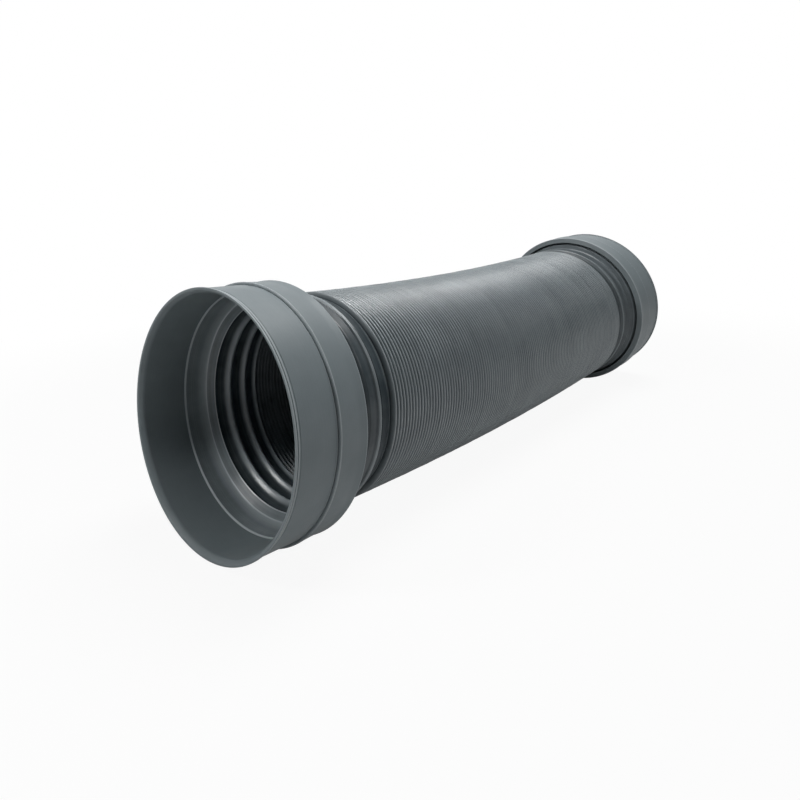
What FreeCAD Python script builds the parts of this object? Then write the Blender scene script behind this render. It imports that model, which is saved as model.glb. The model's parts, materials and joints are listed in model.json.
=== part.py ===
import FreeCAD, Part
import math
import os
from FreeCAD import Vector

# Flexible waste hose for a caravan drain, lying on its side as photographed.
# A pleated hose runs between two socket ends that each take a round drain pipe.
# X runs from the near socket to the far one, Z is up, and the floor is Z = 0.
# The hose hangs a little between its ends, so its centre line is a shallow arc.
# Lengths are millimetres and angles are degrees.

# The drain pipe that pushes into each socket
pipe_diameter = 110.0
pipe_play = 0.3

# Mouth sleeve: the plain front band of a socket, with a small lip at its face
sleeve_wall = 2.0
sleeve_band = 20.9
lip_height = 0.5
lip_width = 0.7
lip_grooves = 2
lip_groove_width = 0.5
lip_groove_depth = 0.35
lip_groove_spacing = 1.5
mouth_chamfer = 0.6

# Seam between the sleeve and the lock ring, and the tongue that the ring grips
seam_width = 1.4
tongue_drop = 1.0
tongue_grip = 4.1

# Seal: a rubber ring between the sleeve and the flange of the hose cuff
seal_width = 4.2
seal_bite = 0.8

# Lock ring: the second band, which clamps the seal and the cuff's flange
lock_play = 0.2
lock_wall = 2.0
lock_band = 13.7
lock_taper = 0.4
lock_bead = 1.0
lock_groove_width = 0.45
lock_groove_depth = 0.35
lock_shoulder = 4.6
lock_face_width = 1.2
lock_opening_play = 0.45

# Flat on the underside of each lock ring, which the part stands on
standing_flat = 0.5

# Hose cuff: a flange, a shallow cone that turns steeply to the neck, two wide ribs
# and a narrow last one
flange_width = 2.4
funnel_step = 6.4
funnel_drop = 1.2
cuff_wall = 1.3
cuff_play = 0.3
neck_station = 9.2
neck_rise = 2.05
first_wide_rib = 10.4
wide_rib_pitch = 9.2
wide_rib_depth = 3.0
wide_ribs = 2
last_rib_lead = 2.6
last_rib_drop = 0.6
cuff_tail = 2.0

# Pleated hose, closed up as photographed
hose_drop = 6.15
pleat_pitch = 2.225
pleat_depth = 2.9
pleat_land = 0.5
film_wall = 1.0
pleats_in_section = 7
section_count = 17

# How far the centre line turns from one end of the pleats to the other
hang_turn = 6.0

# Radii worked out from the sizes above
bore_r = pipe_diameter / 2 + pipe_play
band_r = bore_r + sleeve_wall
lip_r = band_r + lip_height
tongue_r = band_r - tongue_drop
seal_r = bore_r - seal_bite
lock_inner_r = tongue_r + lock_play
lock_front_r = lock_inner_r + lock_wall
lock_rear_r = lock_front_r - lock_taper
crest_r = band_r - hose_drop
valley_r = crest_r - pleat_depth
hose_bore_r = valley_r - film_wall
opening_r = crest_r + lock_opening_play
wide_valley_r = crest_r - wide_rib_depth
neck_r = wide_valley_r + neck_rise

# Stations on a socket's own axis, counted from its mouth face into the hose
lock_front = sleeve_band + seam_width
sleeve_end = lock_front + tongue_grip
seal_end = sleeve_end + seal_width
flange_end = seal_end + flange_width
lock_rear = lock_front + lock_band
lock_back = lock_rear + lock_shoulder
neck = seal_end + neck_station
first_crest = lock_rear + first_wide_rib
last_wide_valley = first_crest + (wide_ribs - 0.5) * wide_rib_pitch
last_crest = last_wide_valley + last_rib_lead
cuff_end = last_crest + cuff_tail

# Inner skin of the funnel: mouth, knee and neck, as (station, radius)
funnel_mouth = (seal_end, seal_r)
funnel_knee = (seal_end + funnel_step, seal_r - funnel_drop)
funnel_neck = (neck, neck_r - cuff_wall)

# The centre line: straight in each socket and cuff, and an arc in the pleats
section_length = pleats_in_section * pleat_pitch
hose_length = section_count * section_length
turn = math.radians(hang_turn)
arc_r = hose_length / turn
near_angle = -turn / 2
far_angle = turn / 2

# Both ends are alike, so the lock rings carry the part at the same height.
# The floor's height is counted from the lowest point of the centre line.
ring_rise = arc_r * (1 - math.cos(far_angle)) + (cuff_end - lock_rear) * math.sin(far_angle)
floor_z = ring_rise - lock_rear_r * math.cos(far_angle) + standing_flat


def on_arc(angle):
    """Point of the centre line where it has turned to this angle."""
    return Vector(arc_r * math.sin(angle), 0, arc_r * (1 - math.cos(angle)) - floor_z)


def along(angle):
    """Direction of the centre line there, from the near end to the far end."""
    return Vector(math.cos(angle), 0, math.sin(angle))


def square_up(angle):
    """Upward direction square to the centre line there."""
    return Vector(-math.sin(angle), 0, math.cos(angle))


def joint_angle(section):
    """Angle of the centre line at the front of this section of pleats."""
    return near_angle + section * section_length / arc_r


def at_socket(shape, angle, inward):
    """Stand a shape made on the X axis at a socket, with its mouth face outwards."""
    origin = on_arc(angle) - inward * cuff_end
    up = square_up(angle)
    side = up.cross(inward)
    turned = FreeCAD.Matrix(
        inward.x, side.x, up.x, origin.x,
        inward.y, side.y, up.y, origin.y,
        inward.z, side.z, up.z, origin.z,
        0, 0, 0, 1,
    )
    placed = shape.copy()
    placed.Placement = FreeCAD.Placement(turned)
    return placed


def at(point):
    """A (station, radius) pair as a point over the X axis."""
    return Vector(point[0], 0, point[1])


def lines(points):
    """Straight edges through a row of (station, radius) points."""
    return [Part.makeLine(at(a), at(b)) for a, b in zip(points, points[1:])]


def bow(first, middle, last):
    """One round edge through three (station, radius) points."""
    return Part.Arc(at(first), at(middle), at(last)).toShape()


def wave(points):
    """Smooth edge that lies level at each of its crests and valleys."""
    curve = Part.BSplineCurve()
    curve.interpolate(
        Points=[at(point) for point in points],
        Tangents=[Vector(1, 0, 0)] * len(points),
        TangentFlags=[True] * len(points),
    )
    return curve.toShape()


def spun(edges):
    """Solid made by spinning a closed outline round the X axis."""
    face = Part.Face(Part.Wire(Part.__sortEdges__(edges)))
    return face.revolve(Vector(0, 0, 0), Vector(1, 0, 0), 360)


def step_out(a, b, gap):
    """Line a-b moved outwards by a gap, as its point at a and its slope in radius."""
    run = b[0] - a[0]
    drop = b[1] - a[1]
    length = math.hypot(run, drop)
    moved = (a[0] - drop / length * gap, a[1] + run / length * gap)
    return moved, drop / run


def funnel_outside(gap, start_station, end_radius):
    """The funnel's two slopes moved outwards: start, knee and end points."""
    first, slope_1 = step_out(funnel_mouth, funnel_knee, gap)
    second, slope_2 = step_out(funnel_knee, funnel_neck, gap)
    start = (start_station, first[1] + slope_1 * (start_station - first[0]))
    rise = second[1] - slope_2 * second[0] - first[1] + slope_1 * first[0]
    knee_station = rise / (slope_1 - slope_2)
    knee = (knee_station, first[1] + slope_1 * (knee_station - first[0]))
    end = (second[0] + (end_radius - second[1]) / slope_2, end_radius)
    return start, knee, end


def mouth_sleeve():
    """Front band of a socket: lip, fine grooves, plain band and tongue."""
    outline = [(0, lip_r - mouth_chamfer / 2), (mouth_chamfer / 2, lip_r), (lip_width, lip_r)]
    for groove in range(lip_grooves):
        station = lip_width + groove * lip_groove_spacing
        outline.append((station, band_r - lip_groove_depth))
        outline.append((station + lip_groove_width, band_r - lip_groove_depth))
        outline.append((station + lip_groove_width, band_r))
        outline.append((station + lip_groove_spacing, band_r))
    outline[-1] = (sleeve_band, band_r)
    outline += [(sleeve_band, tongue_r), (sleeve_end, tongue_r), (sleeve_end, bore_r)]
    outline += [(mouth_chamfer, bore_r), (0, bore_r + mouth_chamfer), outline[0]]
    return spun(lines(outline))


def seal_ring():
    """Rubber ring with a rounded lip that bites on the pipe."""
    front = (sleeve_end, bore_r)
    rear = (seal_end, bore_r)
    body = [front, (sleeve_end, tongue_r), (seal_end, tongue_r), rear]
    lip = ((sleeve_end + seal_end) / 2, seal_r)
    return spun(lines(body) + [bow(rear, lip, front)])


def lock_ring():
    """Second band of a socket: rear bead, rounded shoulder, opening for the hose."""
    start, knee, end = funnel_outside(cuff_wall + cuff_play, flange_end, opening_r)
    groove_rear = lock_rear - lock_bead
    groove_front = groove_rear - lock_groove_width
    taper = lock_taper / lock_band
    front_lip_r = lock_front_r - taper * (groove_front - lock_front)
    bead_r = lock_front_r - taper * (groove_rear - lock_front)
    face_r = opening_r + lock_face_width
    body = [(flange_end, lock_inner_r), (lock_front, lock_inner_r), (lock_front, lock_front_r)]
    body += [(groove_front, front_lip_r), (groove_front, front_lip_r - lock_groove_depth)]
    body += [(groove_rear, front_lip_r - lock_groove_depth), (groove_rear, bead_r)]
    body.append((lock_rear, lock_rear_r))
    middle = (lock_rear + 0.7 * lock_shoulder, face_r + 0.62 * (lock_rear_r - face_r))
    shoulder = bow(body[-1], middle, (lock_back, face_r))
    inside = [(lock_back, face_r), (lock_back, opening_r), end, knee, start, body[0]]
    return spun(lines(body) + [shoulder] + lines(inside))


def on_flats(ring):
    """A lock ring at its place, cut flat below where the part stands on the floor."""
    reach = 2 * (hose_length + lock_front_r)
    floor = Part.makeBox(reach, reach, lock_front_r, Vector(-reach / 2, -reach / 2, -lock_front_r))
    return ring.cut(floor)


def hose_cuff():
    """Flange and funnel inside the socket, then the ribs between them and the pleats."""
    start, knee, end = funnel_outside(cuff_wall, flange_end, neck_r)
    ribs = []
    for rib in range(wide_ribs):
        crest = first_crest + rib * wide_rib_pitch
        ribs += [(crest, crest_r), (crest + wide_rib_pitch / 2, wide_valley_r)]
    ribs += [(last_crest, crest_r - last_rib_drop), (cuff_end, wide_valley_r)]
    inner_ribs = [(station, radius - cuff_wall) for station, radius in ribs]
    outline = lines([funnel_mouth, (seal_end, tongue_r), (flange_end, tongue_r), start, knee, end])
    outline.append(wave([end] + ribs))
    outline += lines([ribs[-1], inner_ribs[-1]])
    outline.append(wave([funnel_neck] + inner_ribs))
    outline += lines([funnel_neck, funnel_knee, funnel_mouth])
    return spun(outline)


def hose_circle(length, radius):
    """Circle square to the centre line of the pleats, with its start always at the side."""
    angle = near_angle + length / arc_r
    circle = Part.Circle(on_arc(angle), along(angle), radius)
    circle.XAxis = Vector(0, 1, 0)
    return Part.Wire(circle.toShape())


def pleated_section(section):
    """A run of pleats: a ruled loft through four circles for each pleat, and its bore."""
    front = section * section_length
    half_land = pleat_land / 2
    circles = []
    for pleat in range(pleats_in_section):
        valley = front + pleat * pleat_pitch
        crest = valley + pleat_pitch / 2
        circles.append(hose_circle(valley + half_land, valley_r))
        circles.append(hose_circle(crest - half_land, crest_r))
        circles.append(hose_circle(crest + half_land, crest_r))
        circles.append(hose_circle(valley + pleat_pitch - half_land, valley_r))
    bore = [hose_circle(front - 1, hose_bore_r), hose_circle(front + section_length + 1, hose_bore_r)]
    return Part.makeLoft(circles, True, True).cut(Part.makeLoft(bore, True, True))


def socket_pieces(side, angle, inward):
    """The four pieces of one socket end, each at its place."""
    return {
        side + "_mouth_sleeve": at_socket(mouth_sleeve(), angle, inward),
        side + "_seal_ring": at_socket(seal_ring(), angle, inward),
        side + "_lock_ring": on_flats(at_socket(lock_ring(), angle, inward)),
        side + "_hose_cuff": at_socket(hose_cuff(), angle, inward),
    }


nodes = socket_pieces("near", near_angle, along(near_angle))
for section in range(section_count):
    nodes["pleats_%02d" % (section + 1)] = pleated_section(section)
nodes.update(socket_pieces("far", far_angle, along(far_angle) * -1))

os.makedirs("parts", exist_ok=True)
for name, shape in nodes.items():
    shape.exportStep("parts/" + name + ".step")

length_closed = 2 * cuff_end + hose_length
print("pieces", len(nodes))
print("length along the centre line, closed", round(length_closed, 1))
print("gap between neighbouring sections of pleats", round(pleat_land, 2))
print("least gap between neighbouring crests", round(pleat_pitch - pleat_land, 2))
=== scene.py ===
import json
import math
import random

import bpy
from mathutils import Matrix, Vector


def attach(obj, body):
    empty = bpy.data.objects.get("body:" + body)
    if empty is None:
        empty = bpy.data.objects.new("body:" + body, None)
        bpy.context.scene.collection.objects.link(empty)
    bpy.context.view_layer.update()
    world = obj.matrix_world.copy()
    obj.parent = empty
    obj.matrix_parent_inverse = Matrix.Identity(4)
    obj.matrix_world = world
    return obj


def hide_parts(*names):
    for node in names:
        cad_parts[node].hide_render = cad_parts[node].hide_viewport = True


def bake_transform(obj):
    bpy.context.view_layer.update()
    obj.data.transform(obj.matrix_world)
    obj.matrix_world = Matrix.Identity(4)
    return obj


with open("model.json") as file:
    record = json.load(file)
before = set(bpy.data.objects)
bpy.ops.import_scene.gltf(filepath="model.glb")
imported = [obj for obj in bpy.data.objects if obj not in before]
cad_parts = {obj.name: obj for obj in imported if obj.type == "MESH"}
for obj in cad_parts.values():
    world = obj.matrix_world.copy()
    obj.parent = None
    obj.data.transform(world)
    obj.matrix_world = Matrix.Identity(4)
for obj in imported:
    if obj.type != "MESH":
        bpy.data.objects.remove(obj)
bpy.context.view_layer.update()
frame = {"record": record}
scene = bpy.context.scene

# The camera stands in front of the near socket, a little to its right and above it,
# and looks along the hose. The picture is cut out of a wider view, so the lens is shifted.
camera_place = Vector((-0.3495, -0.2319, 0.1504))
camera_heading = math.radians(43.063)
camera_rise = math.radians(-2.162)
camera_roll = math.radians(-2.02)
camera_lens = 28.905
camera_sensor = 36
camera_shift = (0.06, -0.215)
camera_nearest = 0.01

camera_data = bpy.data.cameras.new("camera")
camera_data.lens = camera_lens
camera_data.sensor_width = camera_sensor
camera_data.shift_x = camera_shift[0]
camera_data.shift_y = camera_shift[1]
camera_data.clip_start = camera_nearest
camera = bpy.data.objects.new("camera", camera_data)
looking = Vector((
    math.cos(camera_heading) * math.cos(camera_rise),
    math.sin(camera_heading) * math.cos(camera_rise),
    math.sin(camera_rise),
))
level = looking.to_track_quat("-Z", "Y").to_matrix()
camera.matrix_world = (
    Matrix.Translation(camera_place) @ (level @ Matrix.Rotation(camera_roll, 3, "Z")).to_4x4()
)
scene.collection.objects.link(camera)
scene.camera = camera

# The studio is a pale floor under one wide soft lamp overhead. Two small lamps light the
# near mouth from above and in front, and a weak wide one lights the right side. The camera
# sees the floor and the backdrop as plain white paper.
scene.view_settings.view_transform = "Standard"
floor_size = 8.0
shadow_share = 0.07
shadow_reach = (0.25, 0.6)
sky_strength = 0.02
sky_colour = (0.93, 0.97, 1.0, 1)
paper_white = (1, 1, 1, 1)
floor_colour = (0.55, 0.55, 0.55, 1)
floor_roughness = 0.9
backdrop_direction = (0.35, 0.90, 0.25)
backdrop_edge = (0.1, 0.8)
room_share = 0.05
floor_reflected = 0.3
lamps = {
    "overhead": dict(place=(0.3, -0.1, 1.3), aim=(0, 0, 0.05), size=0.8, watts=17),
    "above_mouth": dict(place=(-0.62, 0.22, 0.5), aim=(-0.15, 0, 0.04), size=0.15, watts=2.2),
    "before_mouth": dict(place=(-1.4, -0.4, 0.35), aim=(-0.1, 0, 0.06), size=0.4, watts=0.6),
    "right": dict(place=(-0.2, -1.1, 1.0), aim=(-0.1, 0, 0.06), size=0.6, watts=2.5),
}


def node_at(tree, kind, **values):
    """A shader node with its properties and the values of its inputs set."""
    node = tree.nodes.new(kind)
    for name, value in values.items():
        if hasattr(node, name):
            setattr(node, name, value)
        else:
            node.inputs[name.replace("_", " ")].default_value = value
    return node


def camera_sees(tree):
    """1 for rays from the camera, and the share put into its first input for reflections."""
    path = node_at(tree, "ShaderNodeLightPath")
    reflected = node_at(tree, "ShaderNodeMath", operation="MAXIMUM")
    tree.links.new(path.outputs["Is Glossy Ray"], reflected.inputs[0])
    tree.links.new(path.outputs["Is Transmission Ray"], reflected.inputs[1])
    shared = node_at(tree, "ShaderNodeMath", operation="MULTIPLY")
    tree.links.new(reflected.outputs[0], shared.inputs[1])
    seen = node_at(tree, "ShaderNodeMath", operation="MAXIMUM")
    tree.links.new(path.outputs["Is Camera Ray"], seen.inputs[0])
    tree.links.new(shared.outputs[0], seen.inputs[1])
    return seen.outputs[0], shared.inputs[0]


world = bpy.data.worlds.new("studio")
scene.world = world
world.use_nodes = True
world_tree = world.node_tree
world_tree.nodes.clear()
sky = node_at(world_tree, "ShaderNodeBackground", Strength=sky_strength)
paper = node_at(world_tree, "ShaderNodeBackground", Strength=1.0)
sky.inputs["Color"].default_value = sky_colour
paper.inputs["Color"].default_value = paper_white
sky_or_paper = node_at(world_tree, "ShaderNodeMixShader")
world_end = node_at(world_tree, "ShaderNodeOutputWorld")
ray = node_at(world_tree, "ShaderNodeTexCoord")
facing = node_at(world_tree, "ShaderNodeVectorMath", operation="DOT_PRODUCT")
facing.inputs[1].default_value = backdrop_direction
backdrop = node_at(world_tree, "ShaderNodeMapRange", interpolation_type="SMOOTHSTEP")
backdrop.inputs["From Min"].default_value = backdrop_edge[0]
backdrop.inputs["From Max"].default_value = backdrop_edge[1]
backdrop.inputs["To Min"].default_value = room_share
world_tree.links.new(ray.outputs["Generated"], facing.inputs[0])
world_tree.links.new(facing.outputs["Value"], backdrop.inputs["Value"])
paper_seen, paper_reflected = camera_sees(world_tree)
world_tree.links.new(backdrop.outputs[0], paper_reflected)
world_tree.links.new(paper_seen, sky_or_paper.inputs[0])
world_tree.links.new(sky.outputs[0], sky_or_paper.inputs[1])
world_tree.links.new(paper.outputs[0], sky_or_paper.inputs[2])
world_tree.links.new(sky_or_paper.outputs[0], world_end.inputs[0])

floor_mesh = bpy.data.meshes.new("floor")
half = floor_size / 2
floor_corners = [(-half, -half, 0), (half, -half, 0), (half, half, 0), (-half, half, 0)]
floor_mesh.from_pydata(floor_corners, [], [(0, 1, 2, 3)])
floor = bpy.data.objects.new("floor", floor_mesh)
scene.collection.objects.link(floor)
floor_paint = bpy.data.materials.new("floor_paper")
floor_paint.use_nodes = True
paint_tree = floor_paint.node_tree
paint = paint_tree.nodes["Principled BSDF"]
paint.inputs["Base Color"].default_value = floor_colour
paint.inputs["Roughness"].default_value = floor_roughness
paint.inputs["Specular IOR Level"].default_value = 0.0
white = node_at(paint_tree, "ShaderNodeEmission", Strength=1.0)
white.inputs["Color"].default_value = paper_white
paper_mix = node_at(paint_tree, "ShaderNodeMixShader")
paper_share = node_at(paint_tree, "ShaderNodeMath", operation="MULTIPLY")
floor_point = node_at(paint_tree, "ShaderNodeNewGeometry")
from_middle = node_at(paint_tree, "ShaderNodeVectorMath", operation="LENGTH")
fade = node_at(paint_tree, "ShaderNodeMapRange", interpolation_type="SMOOTHSTEP")
fade.inputs["From Min"].default_value = shadow_reach[0]
fade.inputs["From Max"].default_value = shadow_reach[1]
fade.inputs["To Min"].default_value = 1 - shadow_share
paint_tree.links.new(floor_point.outputs["Position"], from_middle.inputs[0])
paint_tree.links.new(from_middle.outputs["Value"], fade.inputs["Value"])
paint_tree.links.new(fade.outputs[0], paper_share.inputs[1])
paper_seen, paper_reflected = camera_sees(paint_tree)
paper_reflected.default_value = floor_reflected
paint_tree.links.new(paper_seen, paper_share.inputs[0])
paint_tree.links.new(paper_share.outputs[0], paper_mix.inputs[0])
paint_tree.links.new(paint.outputs[0], paper_mix.inputs[1])
paint_tree.links.new(white.outputs[0], paper_mix.inputs[2])
paint_tree.links.new(paper_mix.outputs[0], paint_tree.nodes["Material Output"].inputs[0])
floor_mesh.materials.append(floor_paint)

for name, lamp in lamps.items():
    lamp_data = bpy.data.lights.new(name, "AREA")
    lamp_data.shape = "DISK"
    lamp_data.size = lamp["size"]
    lamp_data.energy = lamp["watts"]
    lamp_object = bpy.data.objects.new(name, lamp_data)
    lamp_object.location = lamp["place"]
    aim = Vector(lamp["aim"]) - Vector(lamp["place"])
    lamp_object.rotation_euler = aim.to_track_quat("-Z", "Y").to_euler()
    scene.collection.objects.link(lamp_object)

# Mouth sleeves: the plain front band of each socket, moulded in satin grey plastic with a
# thin lip and two fine grooves. A pipe slides into the bore, and the sleeve's tongue
# reaches back under the lock ring. Both ends of the hose are built alike.
mouth_to_mount = 0.0135
cuff_end = 0.0648
pleat_pitch = 0.002225
pleat_count = 119
hang_turn = math.radians(6)
ring_segments = 192
sharp_turn = math.radians(50)
fillet_limit = 0.45
bore_r = 0.0553
lip_r = 0.0578
groove_r = 0.0571
ridge_r = 0.0574
sleeve_band_r = 0.0573
sleeve_rear = 0.0222
sleeve_end = 0.0264
tongue_r = 0.0563
plain_tone = 0.5
# Painted highlight: a light tone on the points close to the plastic's edges.
edge_highlight_tone = 1.7
edge_highlight_reach = 0.0004

pleats_length = pleat_count * pleat_pitch
arc_r = pleats_length / hang_turn
full_length = 2 * cuff_end + pleats_length
near_mount = next(m for m in frame["record"]["mounts"] if m["name"] == "near_socket")
outward = Vector(near_mount["axis"]).normalized()
near_mouth = Vector(near_mount["pos_m"]) + outward * mouth_to_mount


def hose_line(length):
    """Point, direction and upward direction of the hose's middle line, by its length."""
    on_arc = min(max(length - cuff_end, 0), pleats_length)
    angle = on_arc / arc_r - hang_turn / 2
    start = near_mouth - outward * cuff_end
    first = -hang_turn / 2
    point = start + arc_r * Vector((
        math.sin(angle) - math.sin(first), 0, math.cos(first) - math.cos(angle)
    ))
    along = Vector((math.cos(angle), 0, math.sin(angle)))
    up = Vector((-math.sin(angle), 0, math.cos(angle)))
    return point + along * (length - cuff_end - on_arc), along, up


def softened(corners, steps=4):
    """Outline whose corners, given as (station, radius, fillet), are rounded off."""
    outline = []
    for index, (station, radius, fillet) in enumerate(corners):
        corner = Vector((station, radius))
        before = Vector(corners[index - 1][:2]) - corner
        after = Vector(corners[(index + 1) % len(corners)][:2]) - corner
        if not fillet:
            outline.append(tuple(corner))
            continue
        reach = min(fillet, fillet_limit * before.length, fillet_limit * after.length)
        first = corner + before.normalized() * reach
        last = corner + after.normalized() * reach
        for step in range(steps + 1):
            t = step / steps
            bend = first * (1 - t) ** 2 + corner * 2 * t * (1 - t) + last * t ** 2
            outline.append(tuple(bend))
    return outline


def sharp_turns(outline):
    """Numbers of the outline's points where it turns too much to be shaded as one curve."""
    turns = set()
    for index, point in enumerate(outline):
        here = Vector(point[:2])
        coming = here - Vector(outline[index - 1][:2])
        going = Vector(outline[(index + 1) % len(outline)][:2]) - here
        if coming.length and going.length and coming.angle(going) > sharp_turn:
            turns.add(index)
    return turns


def ring_piece(name, outline, material, from_far=False, segments=ring_segments):
    """Mesh made by carrying a closed outline round the hose's middle line.

    An outline point is (station, radius), or (station, radius, crest), where crest is a
    painted tone that runs from 0, painted shade in a valley, to 1, painted highlight on a
    ridge. A fourth value, from 0 to 1, says how much the point shines. Without it, a point
    shines as much as its crest is high. Stations of the far end count from its own mouth.
    """
    points = []
    stations = []
    crests = []
    clean = []
    for station, radius, *rest in outline:
        length = full_length - station if from_far else station
        middle, along, up = hose_line(length)
        side = up.cross(along)
        for segment in range(segments):
            turn = 2 * math.pi * segment / segments
            points.append(middle + radius * (math.cos(turn) * side + math.sin(turn) * up))
        stations += [station] * segments
        crests += [rest[0] if rest else plain_tone] * segments
        clean += [rest[-1] if rest else plain_tone] * segments
    faces = []
    rows = len(outline)
    for row in range(rows):
        ahead = (row + 1) % rows
        for segment in range(segments):
            beside = (segment + 1) % segments
            face = (
                row * segments + segment,
                row * segments + beside,
                ahead * segments + beside,
                ahead * segments + segment,
            )
            faces.append(face if from_far else face[::-1])
    mesh = bpy.data.meshes.new(name)
    mesh.from_pydata(points, [], faces)
    mesh.polygons.foreach_set("use_smooth", [True] * len(faces))
    for label, values in (("station", stations), ("crest", crests), ("clean", clean)):
        layer = mesh.attributes.new(label, "FLOAT", "POINT")
        layer.data.foreach_set("value", values)
    corners = sharp_turns(outline)
    sharp = mesh.attributes.new("sharp_edge", "BOOLEAN", "EDGE")
    for edge in mesh.edges:
        row, other_row = (vertex // segments for vertex in edge.vertices)
        sharp.data[edge.index].value = row == other_row and row in corners
    mesh.materials.append(material)
    mesh.update()
    piece = bpy.data.objects.new(name, mesh)
    scene.collection.objects.link(piece)
    return piece


by_area_alone = 100


def keep_flats_flat(piece):
    """Weighs the normals by face area, so that only the small fillets look round."""
    weigh = piece.modifiers.new("flat_bands", "WEIGHTED_NORMAL")
    weigh.mode = "FACE_AREA"
    weigh.weight = by_area_alone
    weigh.keep_sharp = True


mottle_scale = 55.0
lines_per_metre = 2600.0
grain_scale = 1600.0
tone_ends = (0.2, 0.8)
edge_end = 1.0
rougher = 0.07
smoother = 0.05
# Share of the shine left in the valleys that are painted dark as shade.
shaded_valley_shine = 0.15
line_height = 0.4
relief_depth = 0.0001


def effect_group(name, inputs, outputs):
    """An empty node group with named number inputs and outputs, and its two end nodes."""
    group = bpy.data.node_groups.new(name, "ShaderNodeTree")
    for label, value in inputs:
        socket = group.interface.new_socket(label, in_out="INPUT", socket_type="NodeSocketFloat")
        socket.default_value = value
    for label in outputs:
        group.interface.new_socket(label, in_out="OUTPUT", socket_type="NodeSocketFloat")
    return group, group.nodes.new("NodeGroupInput"), group.nodes.new("NodeGroupOutput")


def mottled_group():
    """Cloudy unevenness of moulded plastic, as a value that lies about 0.5."""
    group, given, result = effect_group("moulded_mottle", [("Scale", mottle_scale)], ["Value"])
    place = node_at(group, "ShaderNodeTexCoord")
    cloud = node_at(group, "ShaderNodeTexNoise", Detail=5.0, Roughness=0.62)
    group.links.new(place.outputs["Object"], cloud.inputs["Vector"])
    group.links.new(given.outputs["Scale"], cloud.inputs["Scale"])
    group.links.new(cloud.outputs["Fac"], result.inputs["Value"])
    return group


def turned_group():
    """Fine lines round the axis, left by the mould, as a value that lies about 0.5."""
    group, given, result = effect_group(
        "turned_lines", [("Lines per metre", lines_per_metre)], ["Value"]
    )
    station = node_at(group, "ShaderNodeAttribute", attribute_name="station")
    scaled = node_at(group, "ShaderNodeMath", operation="MULTIPLY")
    line = node_at(group, "ShaderNodeTexNoise", noise_dimensions="1D", Scale=1.0, Detail=2.0)
    group.links.new(station.outputs["Fac"], scaled.inputs[0])
    group.links.new(given.outputs["Lines per metre"], scaled.inputs[1])
    group.links.new(scaled.outputs[0], line.inputs["W"])
    group.links.new(line.outputs["Fac"], result.inputs["Value"])
    return group


def grain_group():
    """Very fine orange-peel grain of a moulded or blown skin, as a height."""
    group, given, result = effect_group("skin_grain", [("Scale", grain_scale)], ["Height"])
    place = node_at(group, "ShaderNodeTexCoord")
    grain = node_at(group, "ShaderNodeTexNoise", Detail=3.0, Roughness=0.55)
    group.links.new(place.outputs["Object"], grain.inputs["Vector"])
    group.links.new(given.outputs["Scale"], grain.inputs["Scale"])
    group.links.new(grain.outputs["Fac"], result.inputs["Height"])
    return group


mottle = mottled_group()
turned = turned_group()
grain = grain_group()


def finish_material(
    name, dark, light, roughness, lines, line_share, bump,
    cloud_share=0.5, crest_share=0.0, shine=0.35, edge=None,
):
    """A satin plastic or rubber whose tone follows its mottle, mould lines and ridges.

    With an edge colour, the ridges are given that colour as a painted highlight. Without
    one, the valleys between the ridges are painted darker as shade, and shine less.
    """
    material = bpy.data.materials.new(name)
    material.use_nodes = True
    tree = material.node_tree
    shader = tree.nodes["Principled BSDF"]
    shader.inputs["Specular IOR Level"].default_value = shine
    cloud = node_at(tree, "ShaderNodeGroup", node_tree=mottle, Scale=mottle_scale)
    line = node_at(tree, "ShaderNodeGroup", node_tree=turned)
    line.inputs["Lines per metre"].default_value = lines
    skin = node_at(tree, "ShaderNodeGroup", node_tree=grain, Scale=grain_scale)
    crest = node_at(tree, "ShaderNodeAttribute", attribute_name="crest")
    shares = (
        (cloud.outputs[0], cloud_share),
        (line.outputs[0], line_share),
        (crest.outputs["Fac"], crest_share),
    )
    tone = None
    for source, share in shares:
        part = node_at(tree, "ShaderNodeMath", operation="MULTIPLY_ADD")
        part.inputs[1].default_value = share
        shared = plain_tone * (cloud_share + line_share + crest_share)
        part.inputs[2].default_value = plain_tone - shared
        tree.links.new(source, part.inputs[0])
        if tone is not None:
            tree.links.new(tone, part.inputs[2])
        tone = part.outputs[0]
    colours = node_at(tree, "ShaderNodeValToRGB")
    for element, place, colour in zip(colours.color_ramp.elements, tone_ends, (dark, light)):
        element.position = place
        element.color = (*colour, 1)
    if edge:
        colours.color_ramp.elements.new(edge_end).color = (*edge, 1)
    tree.links.new(tone, colours.inputs[0])
    tree.links.new(colours.outputs[0], shader.inputs["Base Color"])
    gloss = node_at(tree, "ShaderNodeMapRange")
    gloss.inputs["To Min"].default_value = roughness + rougher
    gloss.inputs["To Max"].default_value = roughness - smoother
    tree.links.new(cloud.outputs[0], gloss.inputs["Value"])
    tree.links.new(gloss.outputs[0], shader.inputs["Roughness"])
    # Points marked as less shiny, the valleys in painted shade, get a lower specular level.
    if crest_share and not edge:
        shade_shine = node_at(tree, "ShaderNodeMapRange")
        shade_shine.inputs["To Min"].default_value = shine * shaded_valley_shine
        shade_shine.inputs["To Max"].default_value = shine
        cleanness = node_at(tree, "ShaderNodeAttribute", attribute_name="clean")
        tree.links.new(cleanness.outputs["Fac"], shade_shine.inputs["Value"])
        tree.links.new(shade_shine.outputs[0], shader.inputs["Specular IOR Level"])
    heights = node_at(tree, "ShaderNodeMath", operation="MULTIPLY_ADD")
    heights.inputs[1].default_value = line_height
    tree.links.new(line.outputs[0], heights.inputs[0])
    tree.links.new(skin.outputs[0], heights.inputs[2])
    relief = node_at(tree, "ShaderNodeBump", Strength=bump, Distance=relief_depth)
    tree.links.new(heights.outputs[0], relief.inputs["Height"])
    tree.links.new(relief.outputs[0], shader.inputs["Normal"])
    return material


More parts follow.
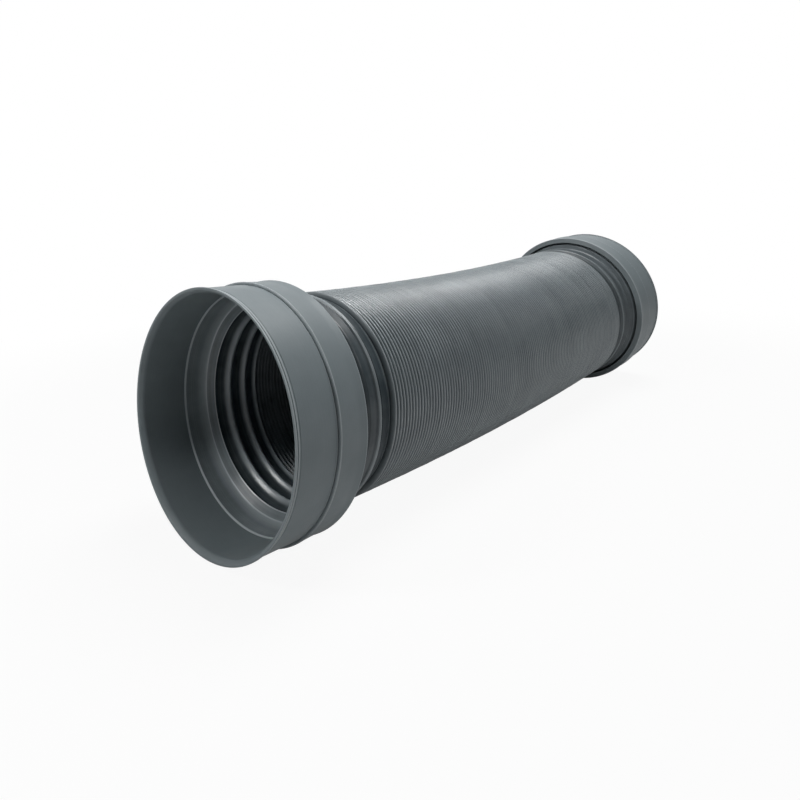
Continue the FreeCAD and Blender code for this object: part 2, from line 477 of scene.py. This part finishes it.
# Its edge colour is a painted highlight, for the light lines along the edges of the sleeves and
# lock rings.
socket_plastic = finish_material(
    "socket_plastic_satin", dark=(0.132, 0.160, 0.171), light=(0.188, 0.218, 0.230),
    roughness=0.46, lines=lines_per_metre, line_share=0.35, bump=0.25,
    crest_share=0.5, edge=(0.300, 0.335, 0.350),
)


def paint_edge_highlights(outline, edges):
    """Outline with a painted highlight, a light tone, on its points close to the edges."""
    toned = []
    for point in outline:
        on_edge = any(math.dist(point, edge) < edge_highlight_reach for edge in edges)
        toned.append((*point, edge_highlight_tone if on_edge else plain_tone))
    return toned


# The lip, the ridge and the rear edge of the band are given painted highlights as light lines.
sleeve_outline = softened([
    (0.0, lip_r, 0.0002),
    (0.0008, lip_r, 0.00015),
    (0.0009, groove_r, 0.0001),
    (0.0014, groove_r, 0.0001),
    (0.0015, ridge_r, 0.0001),
    (0.0023, ridge_r, 0.0001),
    (0.0024, groove_r, 0.0001),
    (0.0029, groove_r, 0.0001),
    (0.0030, sleeve_band_r, 0.0001),
    (sleeve_rear - 0.0005, sleeve_band_r, 0.0),
    (sleeve_rear, sleeve_band_r, 0.0002),
    (sleeve_rear, tongue_r, 0.0),
    (sleeve_end, tongue_r, 0.0),
    (sleeve_end, bore_r, 0.0003),
    (0.0022, bore_r, 0.0012),
    (0.0003, 0.0566, 0.0003),
    (0.0, 0.0571, 0.0002),
])
sleeve_edges = [(0.0004, lip_r), (0.0019, ridge_r), (sleeve_rear, sleeve_band_r)]
sleeve_outline = paint_edge_highlights(sleeve_outline, sleeve_edges)
for side in ("near", "far"):
    sleeve = ring_piece(side + "_sleeve_skin", sleeve_outline, socket_plastic, side == "far")
    keep_flats_flat(sleeve)
    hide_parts(side + "_mouth_sleeve")
    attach(sleeve, side + "_end")

# Seal rings: soft dark rubber, trapped between the sleeve's tongue and the cuff's flange.
# The lip leans inwards to the rear, where it grips the pipe that is pushed in. The ring is
# mostly hidden, so its form is a guess.
seal_end = 0.0306
seal_lip_r = 0.0546
seal_rear_r = 0.0543
seal_lip_end = 0.0256
seal_gap = 0.0001
lip_highlight_tone = 1.2
seal_tone = 0.4
seal_rubber = finish_material(
    "seal_rubber_dull", dark=(0.090, 0.112, 0.121), light=(0.300, 0.335, 0.350),
    roughness=0.5, lines=1800.0, line_share=0.2, bump=0.35, cloud_share=0.4, crest_share=0.5,
)
seal_outline = softened([
    (sleeve_end + seal_gap, bore_r - seal_gap, 0.0),
    (sleeve_end + seal_gap, tongue_r, 0.0),
    (seal_end, tongue_r, 0.0),
    (seal_end, seal_rear_r, 0.0),
    (0.0279, 0.05455, 0.0012),
    (0.0255, seal_lip_r, 0.0003),
    (0.0248, bore_r - seal_gap, 0.0),
])
# The front of the lip is given a light tone as a painted highlight; the rest keeps the rubber's
# darker tone.
seal_outline = [
    (station, radius, lip_highlight_tone if station < seal_lip_end else seal_tone)
    for station, radius in seal_outline
]
for side in ("near", "far"):
    seal = ring_piece(side + "_seal_lip", seal_outline, seal_rubber, side == "far")
    keep_flats_flat(seal)
    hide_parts(side + "_seal_ring")
    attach(seal, side + "_end")

# Lock rings: the second band of each socket, of the same plastic, over the tongue, the seal
# and the cuff's flange. What holds it on is hidden, so it is a plain ring with a little
# play. The band flares a little to the rear, and a short cone leads down to the hose.
lock_front = 0.0225
lock_rear = 0.0386
lock_back = 0.0399
flange_end = 0.033
lock_front_r = 0.0585
lock_rear_r = 0.0586
lock_inner_r = 0.0565
opening_r = 0.0548
lock_outline = softened([
    (lock_front, 0.0578, 0.0001),
    (0.0229, 0.0587, 0.0003),
    (0.0235, lock_front_r, 0.0002),
    (0.0345, 0.0581, 0.0012),
    (0.0372, 0.0584, 0.0008),
    (lock_rear, lock_rear_r, 0.0007),
    (0.0394, 0.0563, 0.0006),
    (lock_back, 0.0551, 0.0002),
    (lock_back, opening_r, 0.0001),
    (0.0385, opening_r, 0.0),
    (flange_end, 0.0557, 0.0),
    (flange_end, lock_inner_r, 0.0),
    (lock_front, lock_inner_r, 0.0002),
])
# The front edge and the rear bead are given painted highlights as light lines.
lock_outline = paint_edge_highlights(lock_outline, [(0.0228, 0.0586), (lock_rear, lock_rear_r)])
for side in ("near", "far"):
    lock = ring_piece(side + "_lock_band", lock_outline, socket_plastic, side == "far")
    keep_flats_flat(lock)
    for vertex in lock.data.vertices:
        vertex.co.z = max(vertex.co.z, 0)
    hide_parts(side + "_lock_ring")
    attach(lock, side + "_end")

# Hose cuffs: the thick ends of the hose, of the same flexible grey plastic as its pleats. A
# flange sits behind the seal under the lock ring, a shallow cove turns into a steep cone,
# and the neck has two wide ribs and a narrow one.
wide_valleys = (0.0478, 0.0574)
fin_crest = 0.0558
last_valley = 0.0641
neck_start = 0.0398
neck_r = 0.0531
crest_r = 0.05115
valley_r = 0.04825
wide_valley_r = 0.0480
inner_ridge_r = 0.0471
film_inner_r = 0.0474
# Painted shade: the dark tone of the film's inside.
inner_pleat_tone = 0.08
# The cove is painted from a dark tone behind the seal to a light one at the cone, as painted
# shade and light.
cove_end = 0.0355
cove_tones = (0.5, 1.15)
cone_start = 0.0361
cone_tone = 0.5
# Painted highlights: the two fine edges of the funnel are given a light tone.
funnel_edges = (0.0359, 0.0393)
funnel_edge_reach = 0.0003
funnel_edge_tone = 1.3
# Painted shade: the valleys are given a dark tone, less dark on the far cuff.
valley_tone = {"near": 0.0, "far": 0.3}
# The neck keeps part of its shine under its painted shade.
neck_clean = 0.4
clean_neck_end = 0.0560
# Its dark colour serves as painted shade in the valleys, its light one as painted highlight on
# the ridges.
hose_film = finish_material(
    "hose_plastic_film", dark=(0.026, 0.036, 0.042), light=(0.250, 0.284, 0.300),
    roughness=0.31, lines=900.0, line_share=0.15, bump=0.2,
    cloud_share=0.3, crest_share=0.5, shine=0.75,
)


def slope(start, end, sharp, steps=8):
    """Points from one (station, radius, crest) to the next, level at both ends."""
    points = []
    for step in range(1, steps + 1):
        t = step / steps
        rise = 0.5 - 0.5 * math.cos(math.pi * t)
        rise = rise ** sharp if end[1] > start[1] else 1 - (1 - rise) ** sharp
        points.append(tuple(a + (b - a) * k for a, b, k in zip(start, end, (t, rise, rise))))
    return points


def ribbed(turns):
    """Outline through the turns, each given as ((station, radius, crest), sharpness)."""
    points = [turns[0][0]]
    for (start, _), (end, sharp) in zip(turns, turns[1:]):
        points += slope(start, end, sharp)
    return points


# The crest values paint shade into the valleys and grooves and highlights onto the ridges, here
# and in the inner ribs.
outer_ribs = ribbed([
    ((neck_start, neck_r, 0.4), 1.0),
    ((0.0423, 0.0501, 0.0), 1.0),
    ((0.0447, 0.0510, 0.3), 1.0),
    ((wide_valleys[0], wide_valley_r, 0.0), 1.0),
    ((0.0506, 0.0496, 0.0), 1.0),
    ((0.0542, 0.0498, 0.1), 1.0),
    ((0.0551, 0.0508, 0.8), 1.0),
    ((fin_crest, crest_r, 1.1), 1.2),
    ((0.0566, 0.0496, 0.0), 1.8),
    ((wide_valleys[1], wide_valley_r, 0.0), 1.0),
    ((0.0594, 0.0490, 0.0), 1.0),
    ((0.0624, 0.0491, 0.0), 1.0),
    ((last_valley, 0.0485, 0.35), 1.0),
    ((cuff_end, valley_r, 0.35), 1.0),
])
inner_ribs = ribbed([
    ((0.0397, 0.0496, 0.0), 1.0),
    ((0.0445, 0.0495, 0.12), 1.0),
    ((wide_valleys[0] - 0.0002, inner_ridge_r, 1.1), 1.0),
    ((0.0504, 0.0489, 0.0), 0.7),
    ((0.0544, 0.0492, 0.12), 1.0),
    ((wide_valleys[1] - 0.0002, inner_ridge_r, 1.1), 1.0),
    ((0.0594, 0.0483, 0.0), 0.7),
    ((0.0620, 0.0484, 0.0), 1.0),
    ((last_valley + 0.0001, inner_ridge_r, 0.9), 0.7),
    ((cuff_end, film_inner_r, inner_pleat_tone), 1.0),
])
funnel = softened([
    (neck_start, neck_r, 0.0),
    (0.0384, 0.0536, 0.0),
    (flange_end, 0.0554, 0.0),
    (flange_end, tongue_r, 0.0),
    (seal_end, tongue_r, 0.0),
    (seal_end, seal_rear_r, 0.0),
    (0.0331, 0.0537, 0.0014),
    (0.0350, 0.0530, 0.0008),
    (0.0359, 0.0525, 0.0002),
    (0.0362, 0.0519, 0.0002),
    (0.0390, 0.0494, 0.0002),
    (0.0394, 0.0489, 0.0002),
    (0.0397, 0.0496, 0.0),
])
toned_funnel = []
for station, radius in funnel:
    along_cove = (station - seal_end) / (cove_end - seal_end)
    tone = cove_tones[0] + (cove_tones[1] - cove_tones[0]) * along_cove
    if min(abs(station - edge) for edge in funnel_edges) < funnel_edge_reach:
        tone = funnel_edge_tone
    elif station > cone_start:
        tone = cone_tone
    toned_funnel.append((station, radius, tone))
cuff_outline = outer_ribs + inner_ribs[::-1] + toned_funnel[::-1][1:-1]
for side in ("near", "far"):
    toned_cuff_outline = []
    for index, (station, radius, crest) in enumerate(cuff_outline):
        crest = max(crest, valley_tone[side])
        on_neck = index < len(outer_ribs) and station < clean_neck_end
        clean = max(crest, neck_clean) if on_neck else crest
        toned_cuff_outline.append((station, radius, crest, clean))
    cuff = ring_piece(side + "_cuff_skin", toned_cuff_outline, hose_film, side == "far")
    keep_flats_flat(cuff)
    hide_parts(side + "_hose_cuff")
    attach(cuff, side + "_end")

# The pleated hose: one thin plastic film, folded into fine pleats that open and close. It
# is built in stretches that meet in flat valleys.
pleats_in_section = 7
section_count = pleat_count // pleats_in_section
stretch_reach = 5
bend_reach = pleats_in_section - stretch_reach
inner_pleat_depth = 0.0014
pleat_segments = 144
outer_turns = (0.0, 0.05, 0.12, 0.2, 0.3, 0.4, 0.5, 0.6, 0.7, 0.8, 0.88, 0.95)
inner_turns = (0.0, 0.08, 0.22, 0.36, 0.5, 0.64, 0.78, 0.92)
flat_valley = (0.05, 0.95)
most_shift = 0.04
most_height = 0.00006
bodies = ["near_end"]
bodies += ["hose_%02d" % section for section in range(2, section_count)]
bodies += ["far_end"]

unevenness = random.Random(7)
pleat_shift = [unevenness.uniform(-1, 1) * most_shift for _ in range(pleat_count)]
pleat_height = [unevenness.uniform(-1, 1) * most_height for _ in range(pleat_count)]


# The pleats' valleys and the film's inside are given a dark tone as painted shade, the crests a
# light one as painted highlight.
def pleat_points(first, last):
    """Closed outline of the film from one valley to another, counted in pleats."""
    outer = []
    inner = []
    for pleat in range(first, last):
        for turn in outer_turns:
            high = 0.0
            if flat_valley[0] < turn < flat_valley[1]:
                high = 1 - abs(math.cos(math.pi * turn)) ** 4
            place = turn + pleat_shift[pleat] * math.sin(math.pi * turn) ** 2
            radius = valley_r + (crest_r - valley_r + pleat_height[pleat]) * high
            outer.append((cuff_end + (pleat + place) * pleat_pitch, radius, high))
        for turn in inner_turns:
            high = math.sin(math.pi * turn) ** 2
            radius = film_inner_r + inner_pleat_depth * high
            inner.append((cuff_end + (pleat + turn) * pleat_pitch, radius, inner_pleat_tone))
    end = cuff_end + last * pleat_pitch
    outer.append((end, valley_r, 0.0))
    inner.append((end, film_inner_r, inner_pleat_tone))
    return outer + inner[::-1]


def film_stretch(name, first, last):
    """One stretch of the pleated film, in its material."""
    outline = pleat_points(first, last)
    piece = ring_piece(name, outline, hose_film, segments=pleat_segments)
    return piece


near_film = film_stretch("pleats_near_end", 0, bend_reach)
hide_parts("pleats_01")
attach(near_film, "near_end")
for boundary in range(1, section_count):
    middle = boundary * pleats_in_section
    reach = stretch_reach if boundary % 2 else bend_reach
    kind = "stretch" if boundary % 2 else "bend"
    film_name = "pleats_%s_%02d" % (kind, (boundary + 1) // 2)
    film = film_stretch(film_name, middle - reach, middle + reach)
    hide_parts("pleats_%02d" % (boundary + 1))
    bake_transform(film)
far_start = pleat_count - pleats_in_section + bend_reach
far_film = film_stretch("pleats_far_end", far_start, pleat_count)
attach(far_film, "far_end")
